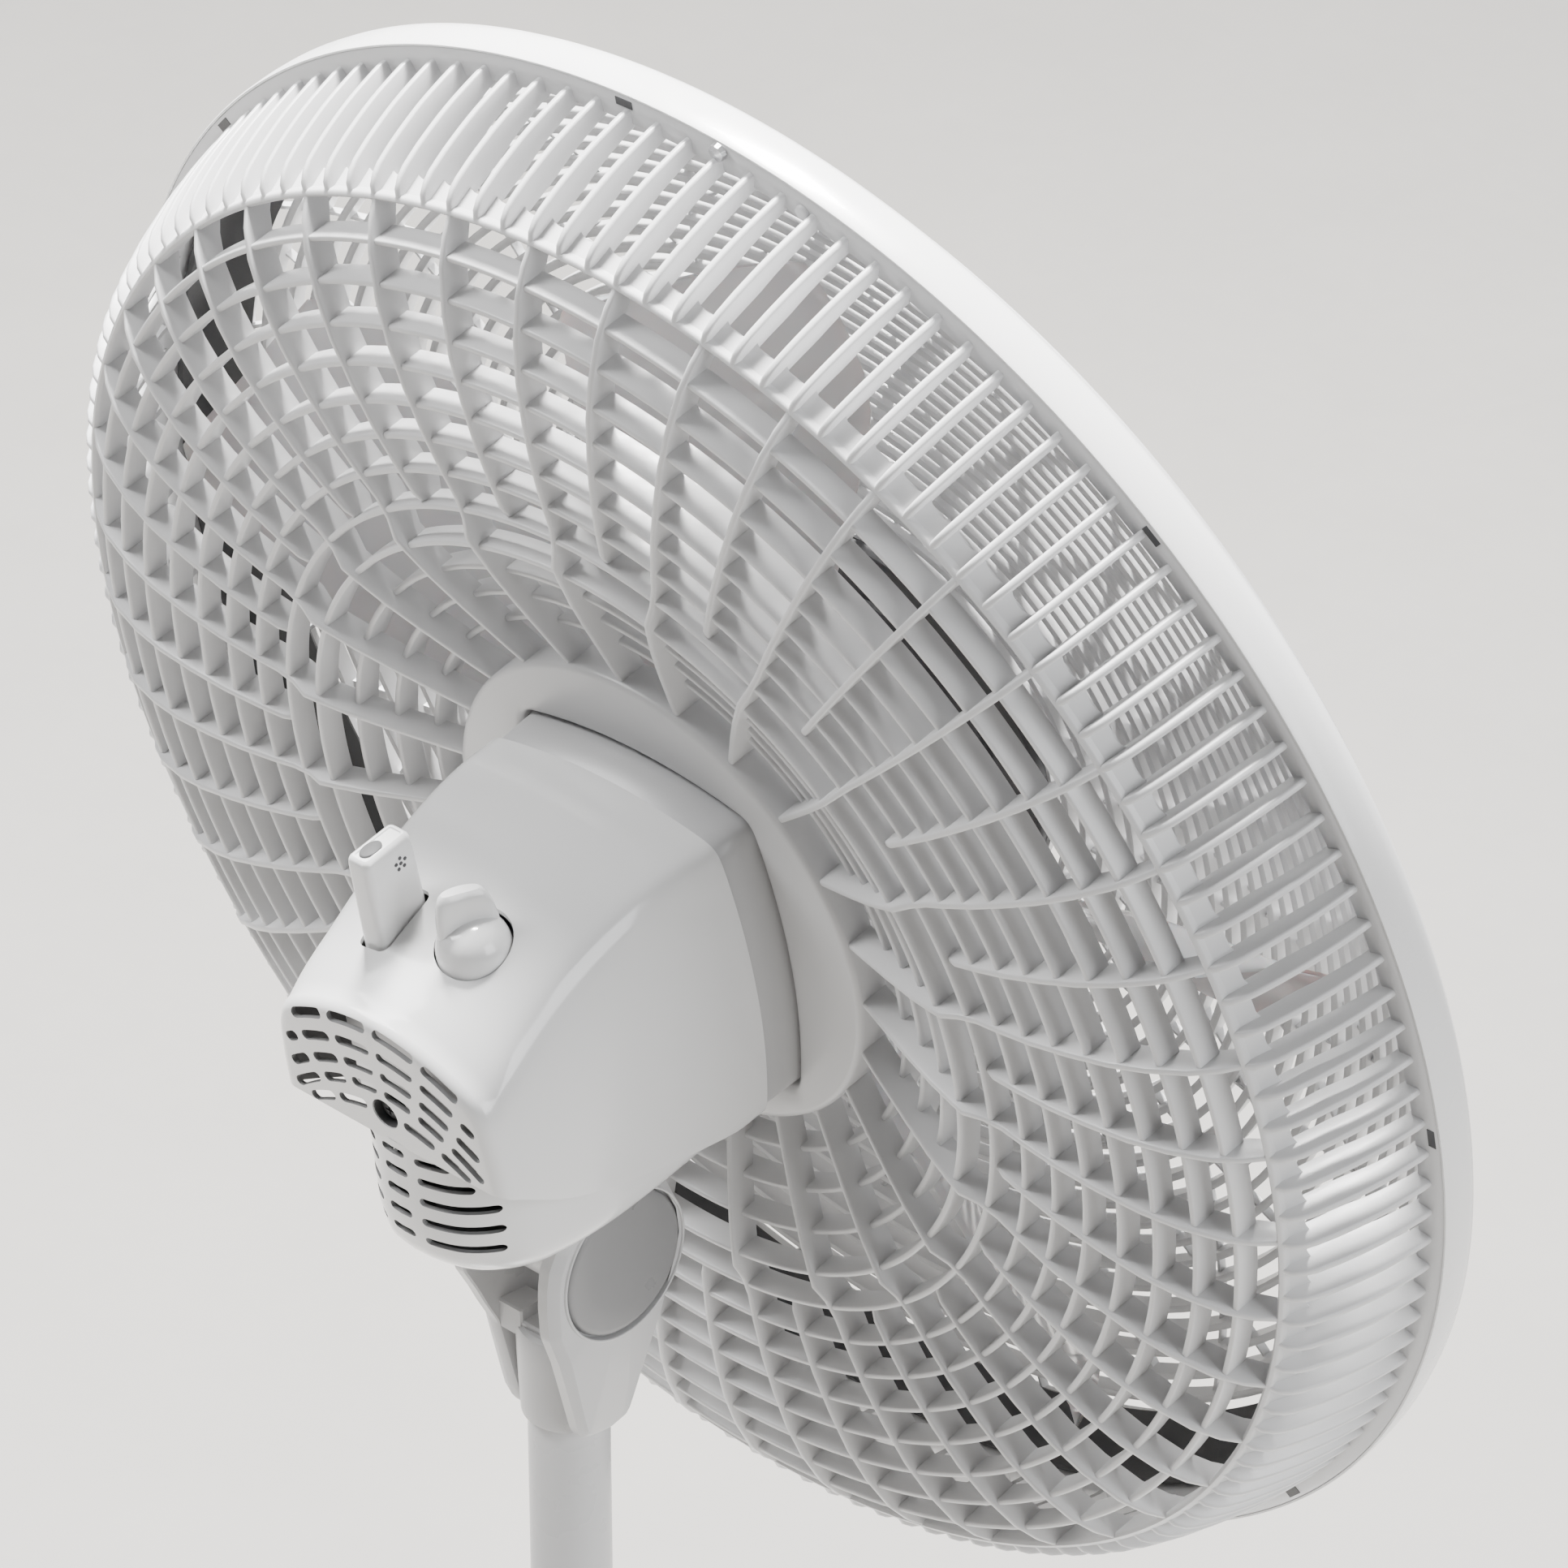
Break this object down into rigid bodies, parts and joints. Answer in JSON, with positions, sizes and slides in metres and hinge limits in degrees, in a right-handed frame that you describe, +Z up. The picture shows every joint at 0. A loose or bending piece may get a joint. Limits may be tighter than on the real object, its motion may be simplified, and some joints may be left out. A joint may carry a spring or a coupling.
{
  "type": "pedestal fan",
  "caption": "Floor-standing fan with a weighted round base, telescopic pole, tilting and oscillating head, ribbed dish guards and a bladed rotor",
  "frame": {"origin": "on the floor at the pole's axis, the bottom centre of the bounding box", "axes": "+Z up, -Y the way the fan blows, +X to the fan's left as it faces you"},
  "size_m": [0.528, 0.42, 1.1987],
  "materials": {
    "housing": "glossy white moulding",
    "guard": "satin light grey-white moulding",
    "blade": "glossy light grey moulding",
    "neck": "satin grey moulding",
    "dark_plastic": "dark grey moulding",
    "pole": "pale painted steel tube",
    "steel": "plain steel",
    "cast_weight": "rough casting",
    "rubber": "black rubber",
    "aluminium": "die-cast aluminium",
    "copper": "enamelled copper winding",
    "gear_nylon": "natural nylon"
  },
  "bodies": {
    "stand": {"base_shell": "housing", "base_plate": "dark_plastic", "base_weight": "cast_weight", "foot_1": "rubber", "foot_2": "rubber", "foot_3": "rubber", "foot_4": "rubber", "foot_5": "rubber", "base_washer": "steel", "base_bolt": "steel", "tube_plug": "steel", "lower_tube": "pole", "tube_collar": "neck", "collet": "gear_nylon"},
    "lock_ring": {"height_lock_ring": "housing"},
    "mast": {"upper_tube": "pole", "neck_yoke": "neck", "pivot_cover_left": "neck", "pivot_cover_right": "neck", "tilt_bolt": "steel", "neck_screw": "steel"},
    "tilt": {"tilt_knuckle": "neck", "oscillation_pin": "steel"},
    "head": {"front_housing": "housing", "rear_housing": "housing", "gear_cover": "housing", "rear_screw": "steel", "cord_grommet": "dark_plastic", "motor_stator": "steel", "stator_coil_front": "copper", "stator_coil_rear": "copper", "motor_bracket_front": "aluminium", "motor_bracket_rear": "aluminium", "guard_thread": "gear_nylon", "gearbox_case": "aluminium", "capacitor": "dark_plastic", "speed_switch": "dark_plastic", "rear_guard": "guard", "front_guard": "guard", "guard_nut": "dark_plastic", "badge_cap": "dark_plastic", "rim_screw": "steel"},
    "rotor": {"motor_shaft": "steel", "rotor_core": "steel", "fan_blades": "blade", "blade_nut": "dark_plastic"},
    "worm_gear": {"worm_gear": "gear_nylon"},
    "crank_gear": {"crank_gear": "gear_nylon"},
    "crank_link": {"crank_link": "steel"},
    "speed_knob": {"speed_knob": "housing"},
    "oscillation_pull": {"oscillation_pull": "housing"}
  },
  "joints": [
    {"name": "lock_ring_turn", "type": "hinge", "parent": "stand", "child": "lock_ring", "pos_m": [0, 0, 0.508], "axis": [0, 0, 1], "range_deg": [0, 150]},
    {"name": "height_slide", "type": "slide", "parent": "stand", "child": "mast", "axis": [0, 0, 1], "range_m": [-0.185, 0.18]},
    {"name": "head_tilt", "type": "hinge", "parent": "mast", "child": "tilt", "pos_m": [0, 0, 0.828], "axis": [1, 0, 0], "range_deg": [-12, 24]},
    {"name": "head_oscillate", "type": "hinge", "parent": "tilt", "child": "head", "pos_m": [0, 0.01824, 0.91766], "axis": [0, 0.1994, 0.9799], "range_deg": [-40, 40]},
    {"name": "fan_spin", "type": "hinge", "parent": "head", "child": "rotor", "pos_m": [0, -0.04183, 0.92988], "axis": [0, -0.9799, 0.1994], "continuous": true},
    {"name": "worm_gear_turn", "type": "hinge", "parent": "head", "child": "worm_gear", "pos_m": [0.015, 0.03951, 0.91334], "axis": [0, 0.1994, 0.9799], "continuous": true},
    {"name": "crank_gear_turn", "type": "hinge", "parent": "head", "child": "crank_gear", "pos_m": [-0.001, 0.03333, 0.88296], "axis": [0, 0.1994, 0.9799], "continuous": true},
    {"name": "crank_link_turn", "type": "hinge", "parent": "tilt", "child": "crank_link", "pos_m": [-0.013, 0.01027, 0.87847], "axis": [0, 0.1994, 0.9799], "range_deg": [-10, 30]},
    {"name": "speed_knob_turn", "type": "hinge", "parent": "head", "child": "speed_knob", "pos_m": [-0.012, 0.04741, 0.95969], "axis": [0, 0.1994, 0.9799], "range_deg": [-135, 0]},
    {"name": "oscillation_pull_slide", "type": "slide", "parent": "head", "child": "oscillation_pull", "axis": [0, 0.1994, 0.9799], "range_m": [-0.008, 0]}
  ],
  "couplings": [
    {"joint": "worm_gear_turn", "follows": "fan_spin", "ratio": 0.05},
    {"joint": "crank_gear_turn", "follows": "fan_spin", "ratio": -0.015}
  ]
}
